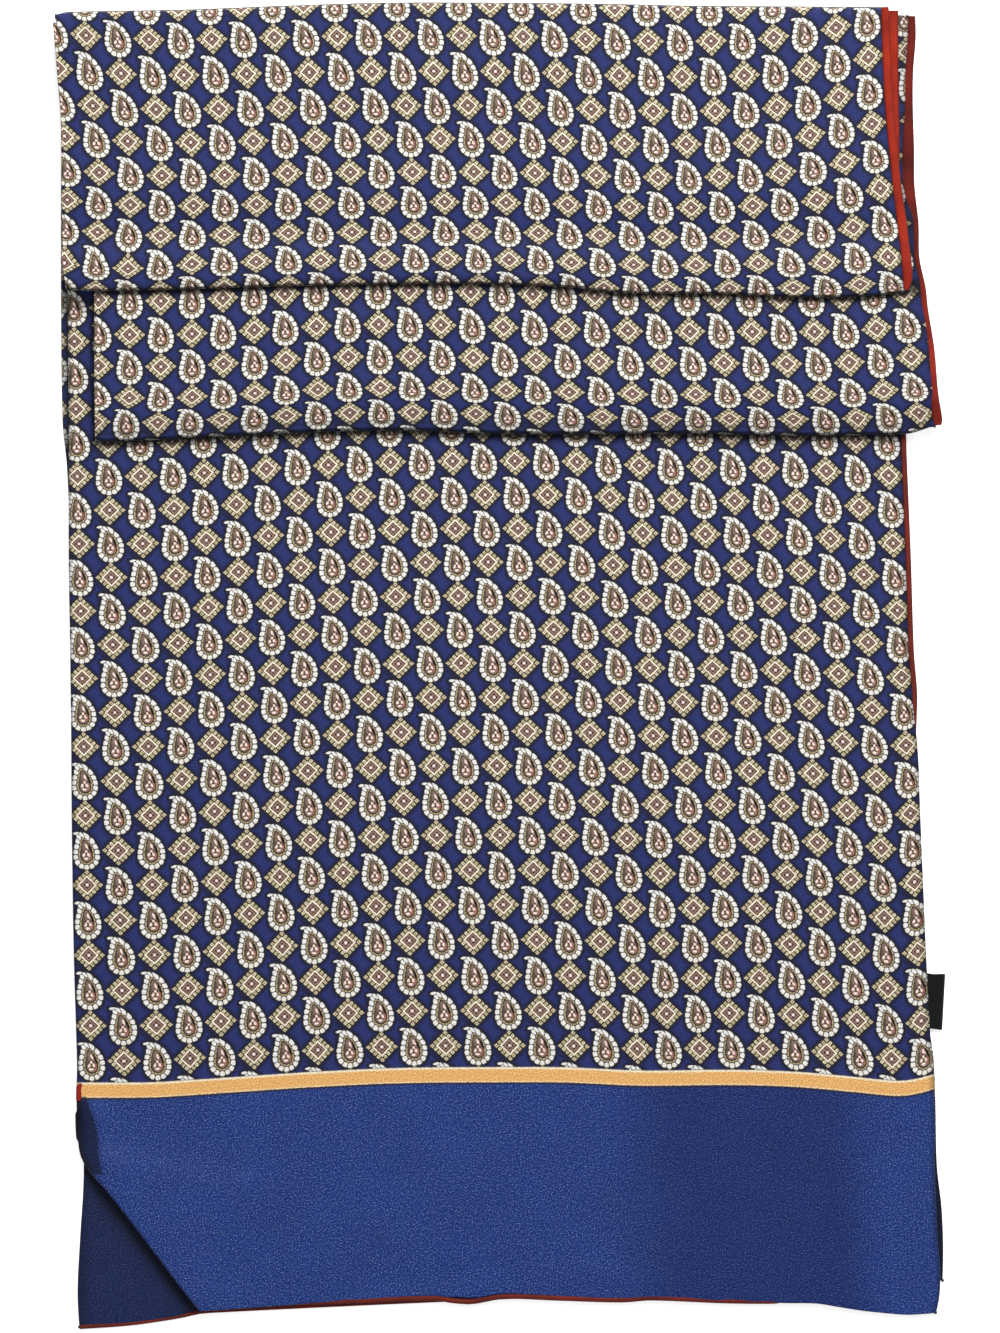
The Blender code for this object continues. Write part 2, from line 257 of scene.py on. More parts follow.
def printed_twill(name, dulling_and_shade):
    material, node, flat = cloth_material(name)
    # the screen and the threads leave each printed edge a little uneven
    bleed = node("TexNoise", flat, Scale=0.9, Detail=1.5)
    bleed = node("VectorMath SUBTRACT", bleed.node.outputs["Color"], (0.5, 0.5, 0.5))
    bleed = node("VectorMath MULTIPLY", bleed, (0.42, 0.42, 0))
    printed = node("VectorMath ADD", flat, bleed)
    u, v = node("SeparateXYZ", printed).node.outputs[:2]

    # the repeat: columns of motifs, every other one set half a repeat lower
    column = node("Math DIVIDE", u, COLUMN)
    odd = node("Math FLOORED_MODULO", node("Math FLOOR", column), 2)
    x = node("Math FRACT", column)
    x = node("Math MULTIPLY_ADD", x, COLUMN, -COLUMN / 2)
    row = node("Math MULTIPLY_ADD", odd, ROW, v)
    tear_y = node("Math ADD", row, -FIRST_ROW)
    tear_y = node("Math WRAP", tear_y, ROW, -ROW)
    diamond_y = node("Math ADD", row, ROW - FIRST_ROW)
    diamond_y = node("Math WRAP", diamond_y, ROW, -ROW)

    # the paisley: an egg drawn out upward, whose tip curls over to the left
    up = node("Math MAXIMUM", tear_y, 0)
    lean = node("Math POWER", up, 2)
    curled = node("Math MULTIPLY_ADD", node("Math MULTIPLY", lean, up), TEAR_CURL, x)
    curled = node("Math MULTIPLY_ADD", up, TEAR_LEAN, curled)
    taper = node("Math MULTIPLY_ADD", up, TEAR_TAPER, 1)
    curled = node("Math MULTIPLY", curled, taper)
    high = node("Math ADD", tear_y, 2)
    above = node("Math GREATER_THAN", high, 0)
    length = node("Math MULTIPLY_ADD", above, TEAR_HIGH - TEAR_LOW, TEAR_LOW)
    share_x = node("Math DIVIDE", curled, TEAR_WIDE)
    share_y = node("Math DIVIDE", high, length)
    ring = node("VectorMath LENGTH", node("CombineXYZ", share_x, share_y))
    steep_x = node("Math DIVIDE", share_x, TEAR_WIDE)
    slope = node("Math MULTIPLY_ADD", lean, 3 * TEAR_CURL, TEAR_LEAN)
    steep_y = node("Math MULTIPLY_ADD", steep_x, slope, node("Math DIVIDE", share_y, length))
    steep_x = node("Math MULTIPLY", steep_x, taper)
    steep = node("VectorMath LENGTH", node("CombineXYZ", steep_x, steep_y))
    out = node("Math MULTIPLY", node("Math ADD", ring, -1), ring)
    out = node("Math DIVIDE", out, steep)
    inside = node("Math MULTIPLY", out, -1)

    # how far round the paisley's rim, counted in beads
    squeeze = node("Math MULTIPLY_ADD", above, -0.3, 1)
    tall = node("Math MULTIPLY_ADD", out, squeeze, length)
    tall = node("Math MAXIMUM", tall, 0.3)
    spread = node("Math MULTIPLY_ADD", above, 0.3, 1)
    broad = node("Math MULTIPLY_ADD", out, spread, TEAR_WIDE)
    broad = node("Math MAXIMUM", broad, 0.3)
    beside = node("Math DIVIDE", node("Math ABSOLUTE", curled), broad)
    turn = node("Math ARCTAN2", node("Math DIVIDE", high, tall), beside)
    turn_up = node("Math MAXIMUM", turn, 0)
    stretch = (TEAR_HIGH - TEAR_WIDE) / 2
    quarter = (TEAR_WIDE + 1.06 * stretch) * math.pi / 2
    pitch = (TEAR_WIDE * math.pi / 2 + quarter) / 8
    run = node("Math MULTIPLY_ADD", turn, TEAR_WIDE, -quarter)
    run = node("Math MULTIPLY_ADD", turn_up, 1.06 * stretch, run)
    swing = node("Math SINE", node("Math MULTIPLY", turn_up, 2))
    run = node("Math MULTIPLY_ADD", swing, 0.5 * stretch, run)
    in_bead = node("Math WRAP", run, pitch / 2, -pitch / 2)
    bead_x = node("Math SUBTRACT", node("Math ABSOLUTE", in_bead), pitch / 2 - BEAD_GAP - BEAD_ROUND)
    bead_y = node("Math SUBTRACT", node("Math ABSOLUTE", out), BEAD_HALF - BEAD_ROUND)
    bead_x = node("Math MAXIMUM", bead_x, 0)
    bead_y = node("Math MAXIMUM", bead_y, 0)
    bead = node("VectorMath LENGTH", node("CombineXYZ", bead_x, bead_y))
    tear = node("CombineXYZ", curled, tear_y)

    # the small wedge that ends the paisley's tip
    wedge = node("Mapping TEXTURE", node("CombineXYZ", x, tear_y), (-3.5, 5.85, 0), (0, 0, 0.1),
                 (1.1, 0.46, 1))
    wedge = node("VectorMath LENGTH", wedge)
    wedge = node("Math MULTIPLY_ADD", wedge, 0.6, -0.6)

    # the diamond: a frame of bricks round a cream line and a rosette
    side_x = node("Math ABSOLUTE", x)
    side_y = node("Math ABSOLUTE", diamond_y)
    part_x = node("Math DIVIDE", side_x, DIAMOND[0])
    part_y = node("Math DIVIDE", side_y, DIAMOND[1])
    level = node("Math ADD", part_x, part_y)
    slant = math.hypot(*DIAMOND)
    reach = DIAMOND[0] * DIAMOND[1] / slant
    beyond = node("Math MULTIPLY_ADD", level, reach, -reach)
    knot = node("Math ADD", side_x, -5.2)
    knot = node("VectorMath LENGTH", node("CombineXYZ", knot, diamond_y))
    knot = node("Math ADD", knot, -0.25)
    near = node("Math MINIMUM", node("Math ADD", out, -0.85), wedge)
    near = node("Math MINIMUM", near, node("Math MINIMUM", beyond, knot))
    brick_run = node("Math SUBTRACT", part_x, part_y)
    brick_run = node("Math MULTIPLY", brick_run, slant / 2)
    brick = slant / 5
    in_brick = node("Math WRAP", brick_run, brick / 2, -brick / 2)
    number = node("Math ROUND", node("Math DIVIDE", brick_run, brick))
    turned = node("Math GREATER_THAN", node("Math MULTIPLY", x, diamond_y), 0)
    second = node("Math FLOORED_MODULO", node("Math ADD", number, turned), 2)
    corner = node("Math GREATER_THAN", node("Math ABSOLUTE", number), 1.5)

    def layer(below, colour, value, edge, blur, strength=1.0):
        """Lays a colour where value is below edge, over what is there."""
        mask = node("MapRange SMOOTHSTEP", value, edge + blur, edge - blur, 0, strength)
        return node("Mix RGBA", mask, below, colour)

    frame_colour = node("Mix RGBA", second, "e4d8b6", "c8ba92")
    frame_colour = node("Mix RGBA", corner, frame_colour, "cdbf9c")
    to_gap = node("Math SUBTRACT", brick / 2, node("Math ABSOLUTE", in_brick))
    frame_colour = layer(frame_colour, "1d1814", to_gap, 0.25, 0.14)
    mid_line = node("Math MULTIPLY_ADD", level, reach, -0.80 * reach)
    spot = node("VectorMath LENGTH", node("CombineXYZ", in_brick, mid_line))
    frame_colour = layer(frame_colour, "5c4a34", spot, 0.26, 0.12, 0.7)
    for colour, edge, blur in (
        ("241c1a", 0.675, 0.025), ("f3e4cc", 0.62, 0.022), ("2c1e1c", 0.475, 0.022), ("8a6e62", 0.40, 0.03),
    ):
        frame_colour = layer(frame_colour, colour, level, edge, blur)
    dot_x = node("CombineXYZ", node("Math ADD", side_x, -0.85), diamond_y)
    dot_y = node("CombineXYZ", x, node("Math ADD", side_y, -0.8))
    dots = node("Math MINIMUM", node("VectorMath LENGTH", dot_x), node("VectorMath LENGTH", dot_y))
    frame_colour = layer(frame_colour, "2a1a1c", dots, 0.42, 0.13, 0.9)
    centre = node("VectorMath LENGTH", node("CombineXYZ", x, diamond_y))
    frame_colour = layer(frame_colour, "f6e0d8", centre, 0.52, 0.14)
    rim = node("Math MULTIPLY", beyond, -1)
    frame_colour = layer(frame_colour, "15141d", rim, 0.17, 0.13, 0.8)

    # inside the paisley: an ochre ring, a dark line and a dark rose heart with pale petals
    white = node("MapRange SMOOTHSTEP", tear_y, -3.5, -5.6)
    white = node("Mix RGBA", white, "e8e6e1", "e6e2d8")
    tear_colour = layer("3a3936", white, bead, BEAD_ROUND, 0.14)
    for colour, start, end in (
        ("b09c78", 0.98, 1.1), ("1e1418", 1.5, 1.64), ("7c685c", 1.9, 2.1),
    ):
        mask = node("MapRange SMOOTHSTEP", inside, start, end)
        tear_colour = node("Mix RGBA", mask, tear_colour, colour)
    stitch = node("CombineXYZ", node("Math MULTIPLY", in_bead, 0.83), node("Math ADD", inside, -1.3))
    stitch = node("VectorMath LENGTH", stitch)
    tear_colour = layer(tear_colour, "4a3c2c", stitch, 0.24, 0.1, 0.85)
    heart = node("MapRange SMOOTHSTEP", inside, 1.45, 1.7)
    for colour, strength, marks in (
        ("4a423a", 0.8, ((-1.6, -0.6, 0.55, 2.6, -0.05),)),
        ("a06656", 0.65, ((1.35, -1.9, 0.6, 1.5, 0),)),
        ("140a10", 1.0, ((1.4, 1.2, 0.45, 2.5, 0.14),)),
        ("f9ddd0", 1.0, ((0.25, 1.25, 0.42, 1.1, 0.25), (-0.05, -0.45, 0.45, 0.45, 0),
                         (-0.85, -1.6, 0.45, 0.75, -0.6), (0.7, -1.5, 0.45, 0.75, 0.6),
                         (-0.1, -2.9, 0.8, 0.48, 0))),
        ("2a1216", 0.9, ((0.05, 0.4, 0.4, 0.3, 0), (-0.05, -1.3, 0.4, 0.42, 0),
                         (-0.05, -2.3, 0.45, 0.25, 0), (-0.85, -0.4, 0.3, 0.35, 0),
                         (0.75, -0.4, 0.25, 0.35, 0))),
    ):
        nearest = 9
        for mark_x, mark_y, mark_wide, mark_high, mark_turn in marks:
            mark = node("Mapping TEXTURE", tear, (mark_x, mark_y, 0), (0, 0, mark_turn),
                        (mark_wide, mark_high, 1))
            mark = node("VectorMath LENGTH", mark)
            nearest = node("Math MINIMUM", mark, nearest)
        shown = layer(tear_colour, colour, nearest, 0.91, 0.21, strength)
        tear_colour = node("Mix RGBA", heart, tear_colour, shown)

    # the ground: blue, and darker where the outline of a motif runs into it
    ground = node("MapRange SMOOTHSTEP", near, 0.7, 2.0)
    ground = node("Mix RGBA", ground, "1b2049", "242e66")
    colour = layer(ground, "1b1a22", near, 0.62, 0.55)
    beyond_soft = node("Math ADD", beyond, -0.05)
    colour = layer(colour, frame_colour, beyond_soft, 0, 0.07)
    colour = layer(colour, "c9b48c", knot, 0, 0.1)
    colour = layer(colour, "e6e4df", wedge, 0, 0.1)
    colour = layer(colour, tear_colour, out, 0.9, 0.05)

    # the ends: print, then the ochre band between two thin lines, then the plain panel
    end = node("Math ABSOLUTE", node("SeparateXYZ", flat).node.outputs[1])
    grain = node("TexNoise", flat, Scale=2.1, Detail=2, Roughness=0.7)
    uneven = node("Math MULTIPLY_ADD", grain, 0.8, -0.4)
    end = node("Math ADD", end, uneven)
    clouds = node("TexNoise", flat, Scale=0.045, Detail=3, Roughness=0.6)
    panel = node("Mix RGBA", clouds, "0f2a6a", "173a88")
    specks = node("MapRange SMOOTHSTEP", grain, 0.53, 0.68)
    specks = node("Math MULTIPLY", specks, 0.5)
    panel = node("Mix RGBA", specks, panel, "8492bc")
    pits = node("MapRange SMOOTHSTEP", grain, 0.49, 0.37)
    pits = node("Math MULTIPLY", pits, 0.7)
    panel = node("Mix RGBA", pits, panel, "050b2c")
    # the panel is darker over a broad stretch to the right
    darker_stretch = node("MapRange SMOOTHSTEP", u, 18, 55)
    darker_stretch_end = node("MapRange SMOOTHSTEP", u, 124, 104, 0, 0.48)
    darker_stretch = node("Math MULTIPLY", darker_stretch, darker_stretch_end)
    panel = node("Mix RGBA", darker_stretch, panel, "0a1646")
    ochre = node("Mix RGBA", grain, "c98a3c", "f5c684")
    for ink, edge, blur, strength in (
        ("4c4348", BAND[1] + 0.5, 0.3, 0.8), ("efe2c4", BAND[1] + 0.2, 0.15, 1.0),
        (ochre, BAND[1] - 0.45, 0.25, 1.0), ("f0dfba", BAND[0] + 0.7, 0.2, 0.6),
        ("2a2030", BAND[0] + 0.25, 0.2, 1.0), (panel, BAND[0] - 0.4, 0.3, 1.0),
    ):
        colour = layer(colour, ink, end, edge, blur, strength)

    # fibre ends and threads: every printed colour is a little broken up
    shade = node("MapRange", grain, 0.32, 0.68, 0.62, 1.32)
    shade = node("Mix RGBA", 1.0, colour, shade, blend_type="MULTIPLY")
    # the wrong side is duller, and is darkened partly as painted shade: the panel goes to dark navy, the
    # print a little less
    dull_and_painted_shade = node("MapRange", end, BAND[0], BAND[1], dulling_and_shade, 0.5 * dulling_and_shade)
    colour = node("Mix RGBA", dull_and_painted_shade, shade, "0b1128")
    # painted shade: creases, turned edges and cloth close under a fold are darkened towards near black, as
    # the crease_shade attribute gives
    painted_shade = node("Attribute", attribute_name="crease_shade").node.outputs["Fac"]
    colour = node("Mix RGBA", painted_shade, colour, "05060c")
    rib_at = node("Mapping", flat, (0, 0, 0), (0, 0, math.radians(63)), (1, 1, 1))
    ribs = node("TexWave BANDS", rib_at, Scale=0.29, Distortion=0.6, Detail=1, Detail_Scale=1.5)
    relief = node("Math MULTIPLY_ADD", ribs, 0.35, grain)
    bump = node("Bump", Height=relief, Strength=0.35, Distance=0.00025)
    shader = node("BsdfPrincipled", Base_Color=colour, Roughness=0.62, Normal=bump,
                  Sheen_Weight=0.03, Sheen_Roughness=0.45, Specular_IOR_Level=0.18)
    node("OutputMaterial", shader)
    return material


twill_face = printed_twill("printed twill, good face", 0.0)
# the wrong side: duller, and darkened partly as painted shade
twill_back = printed_twill("printed twill, wrong side", 0.7)


def foulard_at(x, y):
    """Cloth coordinates of the lower half, good face down: its own end is at the bottom."""
    return 150 + x, -(y + LOWER_HALF)


lower_rows = [("end", inset, sink) for side, inset, sink in curl(0, 0.45, 100)][::-1]
lower_rows += [("flat", -226 + 2.6 * k, 0) for k in range(36)]
lower_rows += [("flat", -130 + 7 * k, 0) for k in range(28)]
lower_rows += [("flat", y, 0) for y in range(66, 146, 3)]
lower_rows += [("flat", 150 + 7 * k, 0) for k in range(11)]
lower_rows += [("roll", math.radians(15 * k), 0) for k in range(13)]
lower_rows += [("back", 4, 0), ("back", 8, 0)]


def place_lower(column, row):
    kind, at, sink = row
    y = {"end": at - LOWER_HALF, "flat": at}.get(kind, LOWER_HALF)
    x = across(column, along(LOWER_SIDES, y), along(LOWER_SIDES, y, 2))
    z = LOWER_TOP - max(column[2], sink)
    if kind in ("end", "flat"):
        y += (along(LOWER_END, x) + LOWER_HALF + 0.75) * (1 - ease(-LOWER_HALF, -150, y))
        y = min(y, 226)
    end = along(TOP_EDGE, x) - 0.3
    flat_y = y
    if kind == "roll":
        y = end - LOWER_ROLL + LOWER_ROLL * math.sin(at)
        z = LOWER_TOP + LOWER_RISE * (1 - math.cos(at)) - column[2] * math.cos(at)
        flat_y = LOWER_HALF + LOWER_ROLL * at
    if kind == "back":
        y = end - LOWER_ROLL - at
        z = LOWER_TOP + 2 * LOWER_RISE + column[2]
        flat_y = LOWER_HALF + 7 + at
    # a few slack ripples where the corner lies open
    z += 0.14 * ease(-130, -200, y) * math.sin(x / 9 + y / 14) * math.exp(-((x + 120) / 30) ** 2)
    u, v = foulard_at(x, flat_y)
    # painted shade darkens the cloth at its turned edges, beside the body's edge and under the diagonal
    return x, y, z, u, v, max(
        0.7 * ease(0.03, 0.3, max(column[2], sink)),
        0.85 * ease(10, 40, y) * ease(-152.7, -151.9, x),
        0.75 * ease(-9, -1, past(FLAP[0], FLAP[1], x, y)) * ease(-150, -165, y),
        0.5 * ease(-150, -170, y) * ease(-143, -146, x),
    )


lower = lay_cloth(
    "lower_cloth", "lower_layer", columns_of(118, curl(0, 0.45), curl(1, 0.45)), lower_rows, place_lower,
    (twill_back, twill_face),
)

# The lower layer's hem: the cloth's edge is rolled to about 2.5 mm and overlocked all round with
# orange-red thread. It lies half under the cloth here, so it only shows as a thin red line.
ROLL_SIDES = 12
ROLL_STEP = 0.9
ROLL_WOBBLE = 0.12


def roll_hem(name, cad_node, path, thread, shaded=None):
    """A hem: a flattened roll of cloth along a path of (x, y, z, half width, half height), in mm.
    The last argument gives, for a y, how much painted shade darkens the hem there, from 0 to 1."""
    stations = []
    for start, stop in zip(path, path[1:]):
        steps = max(1, round(math.dist(start[:2], stop[:2]) / ROLL_STEP))
        for k in range(steps):
            stations.append([a + (b - a) * (k / steps) for a, b in zip(start, stop)])
    stations.append(list(path[-1]))
    lengths = [0]
    for here, after in zip(stations, stations[1:]):
        lengths.append(lengths[-1] + math.dist(here[:2], after[:2]))
    last = len(stations) - 1

    def place(turn, k):
        x, y, z, wide, high = stations[k]
        before, after = stations[max(k - 1, 0)], stations[min(k + 1, last)]
        ahead = Vector((after[0] - before[0], after[1] - before[1], 0)).normalized()
        swell = 1 + ROLL_WOBBLE * math.sin(lengths[k] / 3.1 + 0.8 * math.sin(lengths[k] / 7.3))
        angle = 2 * math.pi * turn / ROLL_SIDES
        x += ahead.y * wide * math.cos(angle)
        # painted shade along the hem, as the last argument gives it
        shade = shaded(y) if shaded else 0
        y -= ahead.x * wide * math.cos(angle)
        return x, y, z + high * swell * math.sin(angle), lengths[k], 0.6 * turn, shade

    hem = lay_grid(name, ROLL_SIDES, last, place)
    bpy.ops.object.mode_set(mode="EDIT")
    bpy.ops.mesh.select_all(action="SELECT")
    bpy.ops.mesh.remove_doubles(threshold=0.000001)
    bpy.ops.mesh.select_all(action="DESELECT")
    bpy.ops.mesh.select_non_manifold()
    bpy.ops.mesh.fill_holes(sides=0)
    bpy.ops.mesh.select_all(action="SELECT")
    bpy.ops.mesh.normals_make_consistent(inside=False)
    bpy.ops.object.mode_set(mode="OBJECT")
    bpy.ops.object.shade_smooth_by_angle(angle=math.radians(70))
    hem.data.materials.append(thread)
    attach(hem, "root")
    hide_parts(cad_node)


# Overlock thread: soft-spun polyester wound round the rolled edge, so it is matt, orange-red and
# ribbed across. Its 0.5 mm stitches are drawn at 0.9 mm, because finer ones don't show.
def overlock(name, bright, deep):
    material, node, mm = cloth_material(name)
    slanted = node("Mapping", mm, (0, 0, 0), (0, 0, math.radians(20)), (1, 1, 1))
    stitches = node("TexWave BANDS", slanted, Scale=0.35, Distortion=0.8, Detail=2, Detail_Scale=1.2)
    fuzz = node("TexNoise", mm, Scale=1.6, Detail=3, Roughness=0.7)
    wear = node("TexNoise", mm, Scale=0.07, Detail=2)
    wear = node("MapRange", wear, 0.35, 0.65)
    colour = node("Mix RGBA", wear, deep, bright)
    gap = node("MapRange", stitches, 0.0, 0.45, 0.2, 0.0)
    colour = node("Mix RGBA", gap, colour, "5a1a14")
    shade = node("MapRange", fuzz, 0.3, 0.7, 0.84, 1.14)
    colour = node("Mix RGBA", 1.0, colour, shade, blend_type="MULTIPLY")
    # painted shade: the thread is darkened down the roll's two flanks, so that the roll looks rounded
    round_at = node("Math ADD", node("SeparateXYZ", mm).node.outputs[1], -1.8)
    flank_painted_shade = node("MapRange", node("Math ABSOLUTE", round_at), 0.75, 1.7, 0, 0.75)
    colour = node("Mix RGBA", flank_painted_shade, colour, "2a0a08")
    # painted shade from the crease_shade attribute, where the hem lies under the layers above
    painted_shade = node("Attribute", attribute_name="crease_shade").node.outputs["Fac"]
    colour = node("Mix RGBA", painted_shade, colour, "14060a")
    relief = node("Math MULTIPLY_ADD", stitches, 0.8, fuzz)
    bump = node("Bump", Height=relief, Strength=0.25, Distance=0.0002)
    shader = node("BsdfPrincipled", Base_Color=colour, Roughness=0.7, Normal=bump,
                  Sheen_Weight=0.02, Sheen_Roughness=0.5, Specular_IOR_Level=0.15)
    node("OutputMaterial", shader)
    return material


red_bright = overlock("orange-red overlock thread", "a82c14", "881e0e")
# a darker copy of the same thread, as painted shade, for the middle fold's right hem under the layers above
red_painted_shade = overlock("red overlock thread on the middle fold", "9c2a18", "6a1a10")
# a darker copy still, as painted deep shade, for the hems that lie half under the cloth
red_painted_deep_shade = overlock("dull red overlock thread", "74261c", "5c2018")


def beside(table, column, steps, inset, z, wide, high):
    """A hem's path along a table of side places, inset from them, in mm."""
    return [(along(table, y, column) + inset, y, z, wide, high) for y in steps]


path = [(x, along(LOWER_END, x) + 0.8, 0.45, 0.8, 0.42) for x in range(-147, 153, 3)]
roll_hem("lower_end_edge", "lower_end_hem", path, red_painted_deep_shade)
path = beside(LOWER_SIDES, 1, range(-224, 228, 8), 2.6, 0.34, 0.9, 0.25)
roll_hem("lower_left_edge", "lower_left_hem", path, red_bright)
path = beside(LOWER_SIDES, 2, range(-213, 228, 8), -2.4, 0.34, 0.9, 0.25)
roll_hem("lower_right_edge", "lower_right_hem", path, red_painted_deep_shade)

# The body: the half that lies on the lower layer, good face up, and shows its blue panel, its
# band and its print. Its lower left corner is turned under along a diagonal, and its cloth rolls
# over its own hem along the lower right side and most of the end.
BODY_TOP, BODY_CURL, BODY_FOOT = 2.15, 0.65, -223.5
BODY_SIDES = (
    (-226, -102.8, 152.3), (-219, -108.7, 154.3), (-210, -116.1, 154.6), (-200, -124.2, 153.8),
    (-190, -132.3, 153.3), (-183, -138.0, 153.0), (-177, -143.3, 152.8), (-172, -146.5, 152.6),
    (-166, -147.6, 152.9), (-158, -148.0, 152.8), (-148, -148.1, 152.5), (-140, -147.9, 152.3),
    (-129, -148.2, 151.2), (-102.7, -149.0, 149.8), (-81.7, -149.4, 148.9), (-50, -149.8, 147.6),
    (-32.7, -149.9, 147.0), (-18.7, -150.0, 145.8), (-4, -150.2, 144.4), (5.8, -150.3, 143.6),
    (37.3, -150.8, 142.6), (80.3, -150.8, 140.9), (132, -151.2, 139.5), (230, -151.0, 139.0),
)
BODY_END = (
    (-102.9, -225.6), (-97, -225.4), (-74.2, -224.0), (-53.2, -223.3), (-22.8, -222.2), (-16.5, -223.1),
    (-9.5, -223.5), (1.4, -221.7), (21.4, -222.3), (43.4, -222.9), (52.9, -222.2), (78.8, -223.2),
    (94.9, -223.4), (110.6, -223.2), (118.7, -224.4), (126.7, -225.7), (133.7, -226.5), (142.1, -227.2),
    (148.1, -227.0), (153.5, -226.4), (154.3, -225.6),
)
# how far the hem shows past the cloth along the end
HEM_SHOWS = (
    (-90, 0), (-74.2, 0.1), (-60, 0.7), (-35, 1.4), (-20, 1.6), (-13, 2.3), (-6, 1.9), (21, 1.5),
    (35, 1.2), (53, 0.8), (78, 0.7), (95, 0.5), (102, 0.1), (110, 0),
)
# how far the rows of print arch, and where they lie on the cloth
ARCH = (
    (-147, 5.4), (-122, 5.3), (-108, 4.5), (-87, 3.1), (-64, 1.6), (-35, 0.3), (0, 0), (25, 0.2),
    (50, 1.6), (80, 2.1), (105, 2.9), (125, 4.2), (140, 5.2), (147, 4.2), (153, 2.4),
)
BODY_ROWS = (
    (-224, -1.5), (-146, 76.9), (-140.6, 82.3), (-132.8, 89.9), (-71.2, 149.9), (-10.7, 209.9),
    (36.6, 257.9), (83.8, 305.9), (131.1, 353.9), (230, 454),
)


def body_cloth_at(x, y):
    """Cloth coordinates of the body: its rows arch, and its columns lean a little."""
    part_x, part_y = x / 150, y / 150
    column = -0.8 + 13.634 * part_x + 0.603 * part_y + 0.289 * part_x * part_y
    drop = along(ARCH, x) - 1.3 * math.exp(-((x - 95) / 42) ** 2) * ease(20, -120, y)
    column += 0.09 * ease(30, 90, x) * ease(-60, -130, y) + 0.08 * ease(-110, -140, x)
    return (column + 0.5) * COLUMN, along(BODY_ROWS, y + drop)


MIDDLE_FOLD = (
    (-141.9, 79.4), (-138.3, 78.6), (-107.8, 79.9), (-74.2, 81.6), (-35, 82.6), (0.4, 81.4),
    (34, 81.3), (67.2, 81.5), (100.8, 80.8), (134.4, 81.1), (144.2, 81.6), (151, 83.8),
)
# the facet of the wrong side that is turned out above the diagonal: its two ends and its width
FACET = (-177, -151.5)
FACET_WIDE = (
    (-190, 3.0), (-180, 3.2), (-177, 4.2), (-174, 5.9), (-170, 6.9), (-166, 7.2), (-160, 6.5), (-156, 5.1),
    (-152, 3.8), (-148, 3.0), (-140, 3.0), (-130, 3.0),
)


def ripples(x, y, marks):
    """The height at a point of soft ridges and troughs laid one by one, in mm. Each has its middle, its
    half length and half width, its height and its turn in degrees."""
    height = 0
    for at_x, at_y, long, wide, deep, turned in marks:
        angle = math.radians(turned)
        off_x, off_y = x - at_x, y - at_y
        down = (off_x * math.cos(angle) + off_y * math.sin(angle)) / long
        over = (off_y * math.cos(angle) - off_x * math.sin(angle)) / wide
        height += deep * math.exp(-down * down - over * over)
    return height


def body_height(x, y):
    """The body's top: flat, raised over the turned corner, with a few shallow troughs and ridges."""
    over_flap = min(past(FLAP[1], FLAP[2], x, y), past(FLAP[2], FLAP[0], x, y))
    z = BODY_TOP + 1.3 * ease(-9, 1, over_flap) * ease(-60, -100, x)
    zone = ease(-150, -156, y) * ease(-182, -172, y)
    if zone:
        fold = along(BODY_SIDES, y) + along(FACET_WIDE, y)
        z += (1.1 * math.exp(-((x - fold) / 7) ** 2) - min(0.4 * max(fold - x, 0), 2.2)) * zone
    off_fold = past(FLAP[0], FLAP[1], x, y)
    z += 1.3 * math.exp(-(off_fold / 13) ** 2) * ease(-160, -185, y) * ease(-60, -100, x)
    return z + ripples(x, y, (
        (118, -185, 60, 16, 0.75, 88), (136, -190, 60, 9, -0.35, 84), (60, -170, 70, 26, -0.35, 60),
        (-60, -190, 60, 20, 0.3, 62), (-20, -214, 26, 4, -0.4, 10), (40, -214, 20, 4, 0.35, -8),
        (-100, 40, 40, 9, 0.25, 70), (30, -60, 60, 14, 0.22, 8), (90, 20, 50, 12, -0.25, 80),
        (-60, -90, 50, 12, -0.22, 20), (128, -70, 60, 8, 0.3, 86),
    ))


body_rows = [("end", inset, sink) for side, inset, sink in curl(0, 0.6, 110)][::-1]
body_rows += [("flat", -222 + 2.1 * k, 0) for k in range(139)]
body_rows += [("flat", 69 + 0.9 * k, 0) for k in range(21)]
body_rows += [("flat", 92 + 6 * k, 0) for k in range(23)]


def place_body(column, row):
    kind, at, sink = row
    y = BODY_FOOT + at if kind == "end" else at
    left, right = along(BODY_SIDES, y), along(BODY_SIDES, y, 2)
    open_to = along(FACET_WIDE, y)
    if column[0] < 0:
        x = left + BODY_CURL - column[0] * (open_to - BODY_CURL)
    elif 0 < column[0] < 1:
        x = left + open_to + column[0] * (right - left - open_to)
    else:
        x = across(column, left, right)
    end = along(BODY_END, x) + along(HEM_SHOWS, x)
    y += (end - BODY_FOOT) * (1 - ease(BODY_FOOT, -185, y))
    z = body_height(x, y)
    u, v = body_cloth_at(x, y)
    z -= (column[2] + sink) * min(1, (z - 0.9) / 1.2)
    # painted shade darkens the body at its turned edges, along its sides and just below the middle fold
    dark = max(
        0.75 * ease(0.04, 0.4, max(column[2], sink)), 0.5 * ease(1.6, 0.3, min(x - left, right - x)),
        0.85 * ease(1.7, 0.5, along(MIDDLE_FOLD, x) - y) * ease(-144, -141, x),
    )
    # painted shade over the turned-out facet, darkest at the left margin
    if FACET[0] < y < FACET[1] and x < left + open_to + 0.05:
        dark = max(dark, 0.3 + 0.55 * ease(3.5, 0.3, x - left))
    return x, y, z, u, v, dark


body_columns = curl(0, BODY_CURL, 130)[::-1] + [(-k / 6, 0, 0) for k in range(1, 7)]
body_columns += [(k / 134, 0, 0) for k in range(1, 134)] + curl(1, 0.6, 120)
body = lay_cloth("body_cloth", "body", body_columns, body_rows, place_body, (twill_face, twill_back))
# the small facet above the diagonal is the cloth's wrong side, turned out
for face in body.data.polygons:
    x, y, z = face.center * 1000
    if FACET[0] < y < FACET[1] and x < along(BODY_SIDES, y) + along(FACET_WIDE, y):
        face.material_index = 1

